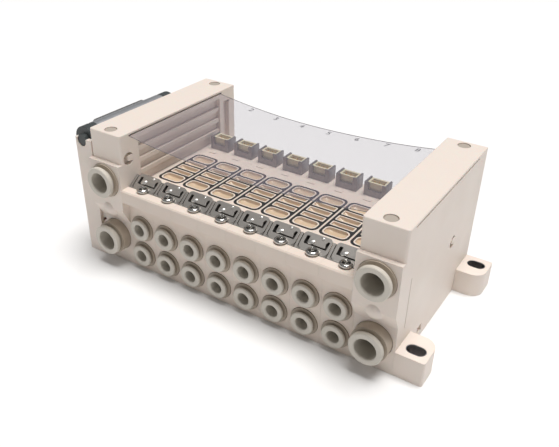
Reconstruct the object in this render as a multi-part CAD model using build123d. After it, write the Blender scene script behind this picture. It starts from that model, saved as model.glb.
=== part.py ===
from build123d import *
import os

# Pneumatic valve island: an eight-station plug-in manifold base with its end
# plates, push-in tube ports, clamps, seals, rotating connector and cover film.
# Units are millimetres. X runs along the row of stations, Y from the port side
# to the wiring side and Z up. The origin is on the underside, midway along the
# row and midway from front to back.

# ---- the row ---------------------------------------------------------------
STATIONS = 8
PITCH = 16.0                # width of one station
DEPTH = 94.0                # from the ledge nose to the back face
CLEAR = 0.15                # play of a fitted piece on each side
RUN_CLEAR = 0.1             # play of a sliding or turning piece

# ---- station block ---------------------------------------------------------
FACE_SETBACK = 4.2          # port face behind the ledge nose
LEDGE_LIP = 38.8            # lowest edge of the ledge nose
LEDGE_DROP = 3.4            # fall of the ledge's sloping underside
LEDGE_RUN = 5.2             # ledge nose to the clamp bracket's seat
SEAT_HEIGHT = 43.0          # face that the valve seals against
LEDGE_ABOVE_SEAT = 2.6
LEDGE_TOP = SEAT_HEIGHT + LEDGE_ABOVE_SEAT
SHELF_HEIGHT = 34.0         # low shelf at the back
SHELF_RUN = 14.5
EDGE_BREAK = 0.7

# ---- ports on the stations -------------------------------------------------
PORT_HIGH = 24.5
PORT_LOW = 9.2
PORT_SOCKET_R = 7.1
PORT_TUBE_R = 3.1           # for 6 mm tube
PORT_COLLAR_R = 5.8
PORT_COLLAR = 1.3           # thickness of the release ring's collar
PORT_PROUD = 0.5            # cartridge flange in front of the port face
PORT_TRAVEL = 0.9           # push of the release ring

# ---- ports on the end plates -----------------------------------------------
MAIN_HIGH = 48.5
MAIN_LOW = 15.3
MAIN_SOCKET_R = 8.8
MAIN_TUBE_R = 5.15          # for 10 mm tube
MAIN_COLLAR_R = 7.9
MAIN_COLLAR = 2.1
MAIN_PROUD = 0.8
MAIN_TRAVEL = 1.4

# ---- push-in cartridges and release rings ----------------------------------
SLEEVE_WALL = 1.3           # wall of the release ring's sleeve
CARTRIDGE_WALL = 1.0
SLEEVE_DEPTH = 8.0          # sleeve end behind the port face
CARTRIDGE_DEPTH = 18.0
TUBE_STOP = 3.0             # end wall that stops the tube
FLANGE_SEAT = 2.0           # flange seat behind the port face
END_PLAY = 0.2

# ---- air galleries ---------------------------------------------------------
SUPPLY_R = 4.4
SUPPLY_HEIGHT = 22.0
EXHAUST_R = 2.3
EXHAUST_HEIGHT = 31.5
DUCT_R = 1.8                # passages that run back from the station ports
RISER_R = 1.6               # upright passages under the windows
CROSS_R = 2.6               # passages that run back from the main ports
PLATE_RISER_R = 2.0

# ---- valve gasket and its windows ------------------------------------------
GASKET_FRONT = 24.9         # from the ledge nose
GASKET_WIDTH = 14.8
GASKET_LENGTH = 34.6
GASKET_BAND = 1.0
GASKET_THICK = 1.1
GASKET_PROUD = 0.5          # height above the seat
WINDOW_LENGTHS = [8.0, 4.6, 5.3, 4.9, 7.8]
WINDOW_DEPTH = 6.0

# ---- clamp bracket and screw -----------------------------------------------
BRACKET_THICK = 1.2
BRACKET_WIDTH = 15.6
BRACKET_FOOT = 9.2          # rear edge of its foot, from the ledge nose
BRACKET_BEND = 6.0          # line that its tilted plate rises from
BRACKET_TILT = 36.0
BRACKET_RISE = 8.5          # length of the tilted plate
BRACKET_CORNER = 4.0
BRACKET_STRIP = 1.2         # strip marked off along the plate's -X edge
BRACKET_GROOVE = 0.4
TONGUE_X = 2.0              # centre of the tongue beside the port line
TONGUE_RISE = 5.4           # and up the tilted plate
TONGUE_R = 2.8
TONGUE_GAP = 1.0            # slot round the tongue
APERTURE_X = -3.2
APERTURE_WIDTH = 2.4
APERTURE_LENGTH = 4.2
CLAMP_OFFSET = 1.8          # screw line beside the port line
SCREW_R = 1.5
SCREW_HEAD_R = 3.1
SCREW_HEAD_H = 2.0
SCREW_LENGTH = 7.0

# ---- plug insert and clip at the back of each seat ---------------------------
CLIP_FRONT = 69.6           # from the ledge nose
CLIP_LENGTH = 7.5
CLIP_WIDTH = 11.8
CLIP_OFFSET = -0.4          # beside the port line
CLIP_HEIGHT = 7.4
CLIP_SHEET = 0.9
CLIP_POST = 2.3             # width of the two posts on the clip's front
CLIP_LIP = 3.2              # height of the low wall between them
INSERT_SETBACK = 1.4        # insert's front behind the clip's front
INSERT_HEIGHT = 6.0
INSERT_WALL = 1.1
INSERT_RECESS = 2.5
PAD_PLACE = (-1.9, 65.3)    # raised pad beside the port line, from the ledge nose
PAD_SIZE = (4.2, 1.8, 0.3)

# ---- wiring duct -----------------------------------------------------------
DUCT_FRONT = 66.0           # from the ledge nose
DUCT_REAR = 89.0
DUCT_FLOOR = 14.0
DUCT_TOP = 28.0
BOARD_THICK = 1.6
BOARD_HEIGHT = 24.0

# ---- end plates ------------------------------------------------------------
PLATE_THICK = 20.0
PLATE_HEIGHT = 73.0
PLATE_SETBACK = 2.6         # upper front face behind the ledge nose
PAD_TOP = 58.0              # top of the thicker front pad
PAD_BOTTOM = 33.0
PAD_RAMP = 8.0
POST_FRONT = 15.0           # width of the front post on the inner wall
POST_REAR = 13.5
PANEL_DEPTH = 2.4           # inner wall between the posts
RIB_COUNT = 3
RIB_HEIGHT = 2.2
SLIT_DROP = 1.2             # film slit below the top face
SLIT_HEIGHT = 0.8
SLIT_DEPTH = 1.6
SLIT_FRONT = 9.0            # from the ledge nose
SLIT_REAR = 82.5
CAP_R = 3.0
CAP_DEPTH = 3.0
CAP_FRONT = 7.4             # from the ledge nose
CAP_REAR = 89.2
BULGE_R = 5.5               # rounded nose between the main ports
BULGE_HEIGHT = 32.6
BULGE_SETBACK = 4.4         # its centre, from the ledge nose
NOTCH_HEIGHT = 60.0         # C-shaped notch for the valve cover's hook
NOTCH_DEPTH = 2.5
NOTCH_R = 3.2
NOTCH_CORE_R = 1.5
GUIDE_WIDTH = 5.0           # upright guide behind the inner wall's rear post
GUIDE_TOP_DROP = 7.0
KEY_SLOT = (3.2, 1.2)       # length and width of the retainer's slot
KEY_SLOT_PLACE = (-9.2, 21.2)   # beside the main port line, height
KEY_SLOT_TURN = 27.0
SIDE_POCKET_DEPTH = 2.0
SIDE_GROOVE = (11.8, 20.0, 46.0)    # from the ledge nose, lower and upper end
SIDE_GROOVE_WIDTH = 0.5
SIDE_NOTCH = (62.0, 37.0)           # from the ledge nose, height
DRAIN_POCKET = (30.0, 35.0, 3.5, 7.5)

# ---- mounting feet ---------------------------------------------------------
FOOT_REACH = 13.6
FOOT_HEIGHT = 12.5
FOOT_WIDTH = 16.6
FOOT_CORNER = 6.5
FOOT_EDGE = 1.2
SLOT_WIDTH = 6.2
SLOT_LENGTH = 9.0
SLOT_REACH = 7.0            # slot centre out from the plate
SLOT_INSET = 6.4            # slot centre in from the foot's straight side

# ---- connector end ---------------------------------------------------------
HOUSING_THICK = 11.5
HOUSING_DROP = 7.5          # its top below the plate's top
HOUSING_WALL = 2.0
HOLDER_DISC_R = 6.5
HOLDER_DISC_W = 4.6
HOLDER_GAP = 0.3
HOLDER_DROP = 8.6           # swivel axis below the plate's top
PIVOT_R = 3.0
PIVOT_LENGTH = 2.2
DSUB_LENGTH = 53.0
DSUB_HEIGHT = 12.5
DSUB_FLANGE = 1.0
DSUB_SETBACK = 1.5          # flange face beside the swivel axis
SHELL_LENGTH = 39.0
SHELL_HEIGHT = 8.4
SHELL_REACH = 6.0
SHELL_WALL = 0.6
SHELL_FLARE = 0.18          # slope of the D's ends, as a share of its height
INSULATOR_BACK = 4.5        # insulator behind the flange
INSULATOR_LIP = 1.0         # insulator wider than the shell, at each end
INSULATOR_RISE = 0.4

# ---- cover film ------------------------------------------------------------
FILM_THICK = 0.3
FILM_SAG = 4.6
FILM_FRONT = 9.4            # from the ledge nose
FILM_REAR = 81.5

# ---- tie rods --------------------------------------------------------------
ROD_R = 2.0
ROD_HEAD_R = 3.5
ROD_HEAD_H = 3.0
ROD_BITE = 10.0             # thread length in the far plate
ROD_PLACES = [(14.0, 36.5), (62.5, 6.5), (86.0, 7.0)]  # from the ledge nose, height

FRONT = -DEPTH / 2
ROW_HALF = STATIONS * PITCH / 2


def from_front(distance):
    """Y of a place given by its distance behind the ledge nose."""
    return FRONT + distance


def station_x(index):
    """X of a station's centre line."""
    return (index - (STATIONS - 1) / 2) * PITCH


def block(x0, x1, y0, y1, z0, z1):
    """Box between two corners."""
    return Pos((x0 + x1) / 2, (y0 + y1) / 2, (z0 + z1) / 2) * Box(x1 - x0, y1 - y0, z1 - z0)


def rod_y(x, z, y0, y1, radius):
    """Round bar along Y."""
    return Pos(x, (y0 + y1) / 2, z) * Rot(90, 0, 0) * Cylinder(radius, y1 - y0)


def rod_x(y, z, x0, x1, radius):
    """Round bar along X."""
    return Pos((x0 + x1) / 2, y, z) * Rot(0, 90, 0) * Cylinder(radius, x1 - x0)


def rod_z(x, y, z0, z1, radius):
    """Round bar along Z."""
    return Pos(x, y, (z0 + z1) / 2) * Cylinder(radius, z1 - z0)


def rounded_prism(width, length, corner, z0, z1):
    """Upright prism with rounded corners, centred on the Z axis."""
    outline = RectangleRounded(width, length, corner)
    return Pos(0, 0, z0) * extrude(outline, z1 - z0)


def window_centres():
    """Y of each gasket window's centre with its length, front to back."""
    free = GASKET_LENGTH - 2 * GASKET_BAND - GASKET_BAND * (len(WINDOW_LENGTHS) - 1)
    scale = free / sum(WINDOW_LENGTHS)
    places = []
    edge = from_front(GASKET_FRONT) + GASKET_BAND
    for length in WINDOW_LENGTHS:
        places.append((edge + length * scale / 2, length * scale))
        edge += length * scale + GASKET_BAND
    return places


def window_prism(length, end_window, margin, z0, z1):
    """Prism that fills one gasket window less a margin."""
    corner = min(2.6, length / 2 - 0.1) if end_window else 0.6
    width = GASKET_WIDTH - 2 * GASKET_BAND - 2 * margin
    return rounded_prism(width, length - 2 * margin, corner - margin / 2, z0, z1)


# ---- push-in ports ---------------------------------------------------------
class Port:
    """One push-in port on an axis along Y; depths run inwards from its face."""

    def __init__(self, x, z, face, sizes, seat=FLANGE_SEAT):
        tube_r, socket_r, collar_r, collar, proud, travel = sizes
        self.x = x
        self.z = z
        self.face = face
        self.tube_r = tube_r
        self.socket_r = socket_r
        self.collar_r = collar_r
        self.collar = collar
        self.proud = proud
        self.seat = seat
        self.back = -proud - travel - END_PLAY
        self.sleeve_r = tube_r + SLEEVE_WALL
        self.bore_r = self.sleeve_r + RUN_CLEAR
        self.body_r = self.bore_r + CARTRIDGE_WALL
        self.stop_r = tube_r - 1.0

    def bar(self, start, end, radius):
        """Round bar on the port's axis between two depths."""
        return rod_y(self.x, self.z, self.face + start, self.face + end, radius)

    def socket(self):
        """Stepped hole that takes the cartridge."""
        mouth = self.bar(-self.seat - 1, self.seat, self.socket_r)
        return mouth + self.bar(0, CARTRIDGE_DEPTH, self.body_r + CLEAR)

    def cartridge(self):
        """Flanged sleeve that grips and seals the tube."""
        body = self.bar(-self.proud, self.seat, self.socket_r - CLEAR)
        body += self.bar(self.seat, CARTRIDGE_DEPTH, self.body_r)
        body -= self.bar(-self.proud, CARTRIDGE_DEPTH - TUBE_STOP, self.bore_r)
        return body - self.bar(0, CARTRIDGE_DEPTH, self.stop_r)

    def release_ring(self):
        """Collar and sleeve that are pushed in to free the tube."""
        front = self.back - self.collar
        lip = Circle(self.collar_r) - Circle(self.tube_r)
        collar = extrude(lip, self.collar)
        rim = collar.edges().filter_by(GeomType.CIRCLE).sort_by(Axis.Z)[-2:]
        collar = chamfer(rim, 0.4)
        collar = Pos(self.x, self.face + self.back, self.z) * Rot(90, 0, 0) * collar
        sleeve = self.bar(front + self.collar / 2, SLEEVE_DEPTH, self.sleeve_r)
        return collar + (sleeve - self.bar(front, SLEEVE_DEPTH, self.tube_r))


def station_ports(index):
    """The two ports of one station, high then low."""
    face = from_front(FACE_SETBACK)
    heights = (PORT_HIGH, PORT_LOW)
    sizes = (PORT_TUBE_R, PORT_SOCKET_R, PORT_COLLAR_R, PORT_COLLAR, PORT_PROUD, PORT_TRAVEL)
    return [Port(station_x(index), z, face, sizes) for z in heights]


def main_ports(side):
    """The exhaust port above and the supply port below on one end plate."""
    x = side * (ROW_HALF + PLATE_THICK / 2)
    sizes = (MAIN_TUBE_R, MAIN_SOCKET_R, MAIN_COLLAR_R, MAIN_COLLAR, MAIN_PROUD, MAIN_TRAVEL)
    high = Port(x, MAIN_HIGH, from_front(0), sizes)
    low = Port(x, MAIN_LOW, from_front(0), sizes, seat=FACE_SETBACK + FLANGE_SEAT)
    return [high, low]


# ---- station block ---------------------------------------------------------
def extrude_x(points, x0, x1):
    """Prism along X from an outline of (y, z) points."""
    outline = make_face(Plane.YZ * Polyline(*points, close=True))
    return Pos(x0, 0, 0) * extrude(outline, x1 - x0, dir=(1, 0, 0))


def block_outline():
    """Side outline of a station block."""
    shelf = from_front(DEPTH - SHELF_RUN)
    face = from_front(FACE_SETBACK)
    bracket = from_front(BRACKET_FOOT)
    ledge = from_front(LEDGE_RUN)
    step = LEDGE_TOP - BRACKET_THICK
    return [
        (face, 0), (-FRONT, 0), (-FRONT, SHELF_HEIGHT), (shelf, SHELF_HEIGHT),
        (shelf, SEAT_HEIGHT), (bracket, SEAT_HEIGHT), (bracket, step), (ledge, step),
        (ledge, LEDGE_TOP), (FRONT + EDGE_BREAK, LEDGE_TOP), (FRONT, LEDGE_TOP - EDGE_BREAK),
        (FRONT, LEDGE_LIP), (face, LEDGE_LIP - LEDGE_DROP),
    ]


def gallery_rods(x0, x1):
    """The supply gallery and the two exhaust galleries as bars along X."""
    places = window_centres()
    rods = [rod_x(places[2][0], SUPPLY_HEIGHT, x0, x1, SUPPLY_R)]
    for window in (1, 3):
        rods.append(rod_x(places[window][0], EXHAUST_HEIGHT, x0, x1, EXHAUST_R))
    return rods


def air_passages():
    """Ports, galleries and windows of one block joined by drilled passages."""
    places = [place for place, length in window_centres()]
    floor = SEAT_HEIGHT - WINDOW_DEPTH
    inner = from_front(FACE_SETBACK + CARTRIDGE_DEPTH)
    starts = (PORT_HIGH, EXHAUST_HEIGHT, SUPPLY_HEIGHT, EXHAUST_HEIGHT, PORT_LOW)
    risers = [rod_z(0, y, start, floor, RISER_R) for y, start in zip(places, starts)]
    runs = [
        rod_y(0, PORT_HIGH, inner, places[0], DUCT_R),
        rod_y(0, PORT_LOW, inner, places[4], DUCT_R),
    ]
    return risers + runs


def gasket_shape(grow, z0, z1):
    """Outer shape of the gasket, grown on each side, as a prism."""
    width = GASKET_WIDTH + 2 * grow
    length = GASKET_LENGTH + 2 * grow
    middle = from_front(GASKET_FRONT + GASKET_LENGTH / 2)
    return Pos(0, middle, 0) * rounded_prism(width, length, 3.2 + grow, z0, z1)


def window_set(margin, z0, z1):
    """The five window prisms of one station."""
    last = len(WINDOW_LENGTHS) - 1
    return [
        Pos(0, y, 0) * window_prism(length, number in (0, last), margin, z0, z1)
        for number, (y, length) in enumerate(window_centres())
    ]


def station_block():
    """One moulded station block, centred on X."""
    body = extrude_x(block_outline(), -PITCH / 2, PITCH / 2)
    groove = SEAT_HEIGHT - GASKET_THICK + GASKET_PROUD
    body -= gasket_shape(CLEAR, groove, SEAT_HEIGHT)
    body += [w for w in window_set(CLEAR, groove - 0.1, SEAT_HEIGHT)]
    body -= window_set(0.8, SEAT_HEIGHT - WINDOW_DEPTH, SEAT_HEIGHT + 1)
    middle = (STATIONS - 1) / 2
    body -= [port.socket() for port in station_ports(middle)]
    body -= gallery_rods(-PITCH / 2, PITCH / 2)
    body -= air_passages()
    body -= [rod_x(from_front(y), z, -PITCH / 2, PITCH / 2, ROD_R + CLEAR) for y, z in ROD_PLACES]
    duct = (from_front(DUCT_FRONT), from_front(DUCT_REAR))
    body -= block(-PITCH / 2, PITCH / 2, *duct, DUCT_FLOOR, DUCT_TOP)
    tapped = LEDGE_TOP - SCREW_LENGTH - 0.5
    body -= rod_z(CLAMP_OFFSET, from_front(LEDGE_RUN), tapped, LEDGE_TOP, SCREW_R + 0.1)
    pad_x, pad_y = PAD_PLACE
    width, length, height = PAD_SIZE
    return body + Pos(pad_x, from_front(pad_y), SEAT_HEIGHT + height / 2 - 0.1) * Box(width, length, height + 0.2)


# ---- valve seat pieces -----------------------------------------------------
def gasket():
    """Black seal: a band round five windows, set into the block's groove."""
    base = SEAT_HEIGHT - GASKET_THICK + GASKET_PROUD
    top = SEAT_HEIGHT + GASKET_PROUD
    body = gasket_shape(0, base, top)
    return body - window_set(0, base, top)


def bracket_plate():
    """Tilted plate of the bracket laid flat: rear corners round, a slot round its tongue."""
    half = BRACKET_WIDTH / 2
    plate = block(-half, half, 0, BRACKET_RISE, -BRACKET_THICK, 0)
    rear = plate.edges().filter_by(Axis.Z).group_by(Axis.Y)[-1]
    plate = fillet(rear, BRACKET_CORNER)
    slot = rod_z(TONGUE_X, TONGUE_RISE, -BRACKET_THICK, 0, TONGUE_R + TONGUE_GAP)
    slot -= rod_z(TONGUE_X, TONGUE_RISE, -BRACKET_THICK, 0, TONGUE_R)
    slot -= block(-half, TONGUE_X, TONGUE_RISE, BRACKET_RISE + TONGUE_R, -BRACKET_THICK, 0)
    slot -= block(TONGUE_X, half, TONGUE_RISE + TONGUE_R / 2, BRACKET_RISE + TONGUE_R, -BRACKET_THICK, 0)
    plate -= slot
    plate -= Pos(APERTURE_X, TONGUE_RISE - 1, 0) * rounded_prism(
        APERTURE_WIDTH, APERTURE_LENGTH, APERTURE_WIDTH / 3, -BRACKET_THICK, 0)
    strip = BRACKET_STRIP - half
    return plate - block(strip, strip + BRACKET_GROOVE, 0, BRACKET_RISE, -BRACKET_GROOVE, 0)


def clamp_bracket():
    """Stamped bracket that clamps a valve's front foot; its plate stands tilted until one is fitted."""
    front = from_front(LEDGE_RUN)
    base = LEDGE_TOP - BRACKET_THICK
    half = BRACKET_WIDTH / 2
    foot = block(-half, half, front + CLEAR, from_front(BRACKET_FOOT) - CLEAR, base, LEDGE_TOP)
    body = foot + Pos(0, from_front(BRACKET_BEND), LEDGE_TOP) * Rot(BRACKET_TILT, 0, 0) * bracket_plate()
    body -= rod_z(CLAMP_OFFSET, front, base, LEDGE_TOP, SCREW_R + 2 * CLEAR)
    head_top = LEDGE_TOP + SCREW_HEAD_H + CLEAR
    return body - rod_z(CLAMP_OFFSET, front, LEDGE_TOP, head_top, SCREW_HEAD_R + CLEAR)


def clamp_screw():
    """Pan-head screw with a hexagon socket."""
    y = from_front(LEDGE_RUN)
    top = LEDGE_TOP + SCREW_HEAD_H
    head = rod_z(CLAMP_OFFSET, y, LEDGE_TOP, top, SCREW_HEAD_R)
    head = fillet(head.edges().filter_by(GeomType.CIRCLE).sort_by(Axis.Z)[-1], 0.9)
    screw = head + rod_z(CLAMP_OFFSET, y, LEDGE_TOP - SCREW_LENGTH, LEDGE_TOP, SCREW_R)
    socket = Pos(CLAMP_OFFSET, y, top - 1.2) * extrude(RegularPolygon(1.4, 6), 1.3)
    return screw - socket


def plug_clip():
    """Sheet-metal clip round the plug insert: side walls, and a low front wall between two posts."""
    y0 = from_front(CLIP_FRONT)
    y1 = y0 + CLIP_LENGTH
    half = CLIP_WIDTH / 2
    inner = half - CLIP_SHEET
    top = SEAT_HEIGHT + CLIP_HEIGHT
    body = block(-half, half, y0, y1, SEAT_HEIGHT, top)
    body -= block(-inner, inner, y0 + CLIP_SHEET, y1, SEAT_HEIGHT + CLIP_SHEET, top)
    gap = half - CLIP_POST
    body -= block(-gap, gap, y0, y0 + CLIP_SHEET, SEAT_HEIGHT + CLIP_LIP, top)
    return Pos(CLIP_OFFSET, 0, 0) * body


def plug_insert():
    """Moulded socket block that takes the valve's plug."""
    half = CLIP_WIDTH / 2 - CLIP_SHEET - CLEAR
    y0 = from_front(CLIP_FRONT) + INSERT_SETBACK
    y1 = from_front(CLIP_FRONT) + CLIP_LENGTH - CLEAR
    base = SEAT_HEIGHT + CLIP_SHEET
    top = base + INSERT_HEIGHT
    body = block(-half, half, y0, y1, base, top)
    inner = half - INSERT_WALL
    body -= block(-inner, inner, y0 + INSERT_WALL, y1 - INSERT_WALL, top - INSERT_RECESS, top)
    return Pos(CLIP_OFFSET, 0, 0) * body


def wiring_board():
    """Circuit board that carries the coil signals along the row."""
    end = ROW_HALF - CLEAR
    y0 = from_front(DUCT_FRONT) + CLEAR
    y1 = from_front(DUCT_REAR) - CLEAR
    board = block(-end, end, y0, y1, BOARD_HEIGHT, BOARD_HEIGHT + BOARD_THICK)
    for y in (y0, y1 - 1.5):
        board += block(-end, end, y, y + 1.5, DUCT_FLOOR, BOARD_HEIGHT)
    return board


# ---- end plates ------------------------------------------------------------
def plate_outline():
    """Side outline of an end plate."""
    face = from_front(FACE_SETBACK)
    upper = from_front(PLATE_SETBACK)
    return [
        (face, 0), (-FRONT, 0), (-FRONT, PLATE_HEIGHT), (upper, PLATE_HEIGHT),
        (upper, PAD_TOP), (FRONT, PAD_TOP), (FRONT, PAD_BOTTOM), (face, PAD_BOTTOM - PAD_RAMP),
    ]


def inner_panel():
    """Recess between the posts of a plate's inner wall, with its ribs left standing.

    Built on the +X plate; the ribs are as far apart as they are from the panel's ends.
    """
    y0 = from_front(POST_FRONT)
    y1 = from_front(DEPTH - POST_REAR)
    top = PLATE_HEIGHT - 3 * SLIT_DROP - SLIT_HEIGHT
    panel = block(ROW_HALF, ROW_HALF + PANEL_DEPTH, y0, y1, SEAT_HEIGHT, top)
    pitch = (top - SEAT_HEIGHT) / (RIB_COUNT + 1)
    for number in range(RIB_COUNT):
        z = SEAT_HEIGHT + pitch * (number + 1)
        rib = block(ROW_HALF + PANEL_DEPTH / 3, ROW_HALF + PANEL_DEPTH, y0, y1, z - 1, z - 1 + RIB_HEIGHT)
        panel -= rib
    return panel


def hook_notch(x0, x1, y, z):
    """C-shaped recess for a cover's hook, open to the back."""
    core_y = y + NOTCH_CORE_R / 2
    notch = rod_x(y, z, x0, x1, NOTCH_R) - rod_x(core_y, z, x0, x1, NOTCH_CORE_R)
    return notch - block(x0, x1, core_y, y + NOTCH_R, z - NOTCH_CORE_R, z + NOTCH_CORE_R)


def film_slit(x0, x1):
    """Slot along the top edge that holds the cover film."""
    z = PLATE_HEIGHT - SLIT_DROP
    return block(x0, x1, from_front(SLIT_FRONT), from_front(SLIT_REAR), z - SLIT_HEIGHT, z)


def plate_body():
    """What both end plates share, built as the +X plate."""
    outer = ROW_HALF + PLATE_THICK
    body = extrude_x(plate_outline(), ROW_HALF, outer)
    upright = body.edges().filter_by(Axis.Z)
    body = fillet(upright.filter_by(lambda e: e.center().Z > PAD_TOP), 1.4)
    body = fillet(body.faces().sort_by(Axis.Z)[-1].edges(), 0.5)
    body -= inner_panel()
    body -= hook_notch(ROW_HALF, ROW_HALF + NOTCH_DEPTH, from_front(POST_FRONT / 2), NOTCH_HEIGHT)
    guide = from_front(DEPTH - POST_REAR) + POST_REAR / 4
    body -= block(ROW_HALF, ROW_HALF + NOTCH_DEPTH, guide, guide + GUIDE_WIDTH,
                  SEAT_HEIGHT - 1, PLATE_HEIGHT - GUIDE_TOP_DROP)
    body -= film_slit(ROW_HALF, ROW_HALF + SLIT_DEPTH)
    body -= film_slit(outer - SLIT_DEPTH / 2, outer)
    middle = ROW_HALF + PLATE_THICK / 2
    body += Pos(middle, from_front(BULGE_SETBACK), BULGE_HEIGHT) * Sphere(BULGE_R)
    for distance in (CAP_FRONT, CAP_REAR):
        body -= rod_z(middle, from_front(distance), PLATE_HEIGHT - CAP_DEPTH, PLATE_HEIGHT, CAP_R + 0.1)
    body -= [port.socket() for port in main_ports(1)]
    body -= gallery_rods(ROW_HALF, middle)
    return body - plate_passages(middle)


def plate_passages(x):
    """Passages from the main ports to the ends of the galleries."""
    places = [place for place, length in window_centres()]
    inner = from_front(CARTRIDGE_DEPTH)
    return [
        rod_y(x, MAIN_HIGH, inner, places[3], CROSS_R),
        rod_z(x, places[1], EXHAUST_HEIGHT, MAIN_HIGH, PLATE_RISER_R),
        rod_z(x, places[3], EXHAUST_HEIGHT, MAIN_HIGH, PLATE_RISER_R),
        rod_y(x, MAIN_LOW, inner, places[2], CROSS_R),
        rod_z(x, places[2], MAIN_LOW, SUPPLY_HEIGHT, PLATE_RISER_R),
    ]


def mounting_foot():
    """Foot of the +X plate at the port side; its far corner away from the port side is round."""
    x0 = ROW_HALF + PLATE_THICK
    y0 = from_front(FACE_SETBACK)
    slab = block(x0, x0 + FOOT_REACH, y0, y0 + FOOT_WIDTH, 0, FOOT_HEIGHT)
    far = slab.edges().filter_by(Axis.Z).group_by(Axis.X)[-1].sort_by(Axis.Y)
    slab = fillet(far[-1], FOOT_CORNER)
    far = slab.edges().filter_by(Axis.Z).group_by(Axis.X)[-1].sort_by(Axis.Y)
    slab = fillet(far[0], FOOT_EDGE)
    slot = extrude(SlotOverall(SLOT_LENGTH, SLOT_WIDTH), FOOT_HEIGHT)
    return slab - Pos(x0 + SLOT_REACH, y0 + SLOT_INSET, 0) * slot


def mounting_feet():
    """The two slotted feet that stand against the +X plate."""
    front_foot = mounting_foot()
    depth_middle = from_front((FACE_SETBACK + DEPTH) / 2)
    return [front_foot, mirror(front_foot, Plane.XZ.offset(-depth_middle))]


def end_plate_right():
    """End plate that the mounting feet stand against."""
    outer = ROW_HALF + PLATE_THICK
    body = plate_body()
    for y, z in ROD_PLACES:
        body -= rod_x(from_front(y), z, ROW_HALF, ROW_HALF + ROD_BITE + 1, ROD_R + RUN_CLEAR / 2)
    distance, low, high = SIDE_GROOVE
    groove = from_front(distance)
    body -= block(outer - SIDE_GROOVE_WIDTH, outer, groove, groove + SIDE_GROOVE_WIDTH, low, high)
    inner = outer - SIDE_POCKET_DEPTH
    distance, height = SIDE_NOTCH
    body -= hook_notch(inner, outer, from_front(distance), height)
    front, rear, low, high = DRAIN_POCKET
    return body - block(inner, outer, from_front(front), from_front(rear), low, high)


def end_plate_left():
    """End plate that carries the connector housing; the tie rods pass through it."""
    body = mirror(plate_body(), Plane.YZ)
    offset, height = KEY_SLOT_PLACE
    length, width = KEY_SLOT
    place = Pos(offset - ROW_HALF - PLATE_THICK / 2, from_front(FACE_SETBACK), height)
    body -= place * Rot(0, -KEY_SLOT_TURN, 0) * Box(length, 2 * length, width)
    for y, z in ROD_PLACES:
        body -= rod_x(from_front(y), z, -ROW_HALF - PLATE_THICK, -ROW_HALF, ROD_R + CLEAR)
    return body


def hole_cap():
    """Cap in a plate's top hole, at the middle of the hole on the Z axis."""
    cap = rod_z(0, 0, PLATE_HEIGHT - CAP_DEPTH, PLATE_HEIGHT - 0.3, CAP_R)
    return chamfer(cap.edges().filter_by(GeomType.CIRCLE).sort_by(Axis.Z)[-1], 0.3)


def tie_rod(y, z):
    """Rod that draws the row together, screwed into the +X plate."""
    head = -ROW_HALF - PLATE_THICK
    shank = rod_x(y, z, head, ROW_HALF + ROD_BITE, ROD_R)
    cap = rod_x(y, z, head - ROD_HEAD_H, head, ROD_HEAD_R)
    socket = Pos(head - ROD_HEAD_H, y, z) * Rot(0, 90, 0) * extrude(RegularPolygon(1.7, 6), 1.8)
    return shank + cap - socket


# ---- connector end ---------------------------------------------------------
HOUSING_TOP = PLATE_HEIGHT - HOUSING_DROP
HOLDER_AXIS = PLATE_HEIGHT - HOLDER_DROP
HOUSING_RIGHT = -ROW_HALF - PLATE_THICK
HOUSING_LEFT = HOUSING_RIGHT - HOUSING_THICK
AXIS_X = HOUSING_RIGHT - HOLDER_DISC_R - HOLDER_GAP
TROUGH_FRONT = from_front(PLATE_SETBACK) + PIVOT_LENGTH + HOLDER_GAP
HOLDER_FRONT = TROUGH_FRONT + HOLDER_GAP
HOLDER_LENGTH = DSUB_LENGTH + 2 * CLEAR + 2 * HOLDER_DISC_W
HOLDER_REAR = HOLDER_FRONT + HOLDER_LENGTH
TROUGH_REAR = HOLDER_REAR + HOLDER_GAP
TROUGH_FLOOR = HOLDER_AXIS - HOLDER_DISC_R - HOLDER_GAP
HOLDER_MIDDLE = (HOLDER_FRONT + HOLDER_REAR) / 2


def connector_housing():
    """Hollow housing on the -X plate with a trough for the swivelling holder."""
    y0 = from_front(PLATE_SETBACK)
    body = block(HOUSING_LEFT, HOUSING_RIGHT, y0, -FRONT, 0, HOUSING_TOP)
    upright = body.edges().filter_by(Axis.Z).group_by(Axis.X)[0]
    body = fillet(upright, 1.2)
    body -= block(HOUSING_LEFT, HOUSING_RIGHT, TROUGH_FRONT, TROUGH_REAR, TROUGH_FLOOR, HOUSING_TOP)
    wall = HOUSING_WALL
    cavity_top = TROUGH_FLOOR - wall
    body -= block(HOUSING_LEFT + wall, HOUSING_RIGHT, y0 + wall, -FRONT - wall, wall, cavity_top)
    wire_gap = DSUB_LENGTH / 4
    body -= block(AXIS_X, HOUSING_RIGHT, HOLDER_MIDDLE - wire_gap, HOLDER_MIDDLE + wire_gap,
                  cavity_top, TROUGH_FLOOR)
    notch = PIVOT_R + RUN_CLEAR
    for end, away in ((y0, TROUGH_FRONT), (TROUGH_REAR, TROUGH_REAR + PIVOT_LENGTH + HOLDER_GAP)):
        body -= rod_y(AXIS_X, HOLDER_AXIS, end, away, notch)
        body -= block(AXIS_X - notch, AXIS_X + notch, end, away, HOLDER_AXIS, HOUSING_TOP)
    return body


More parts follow.
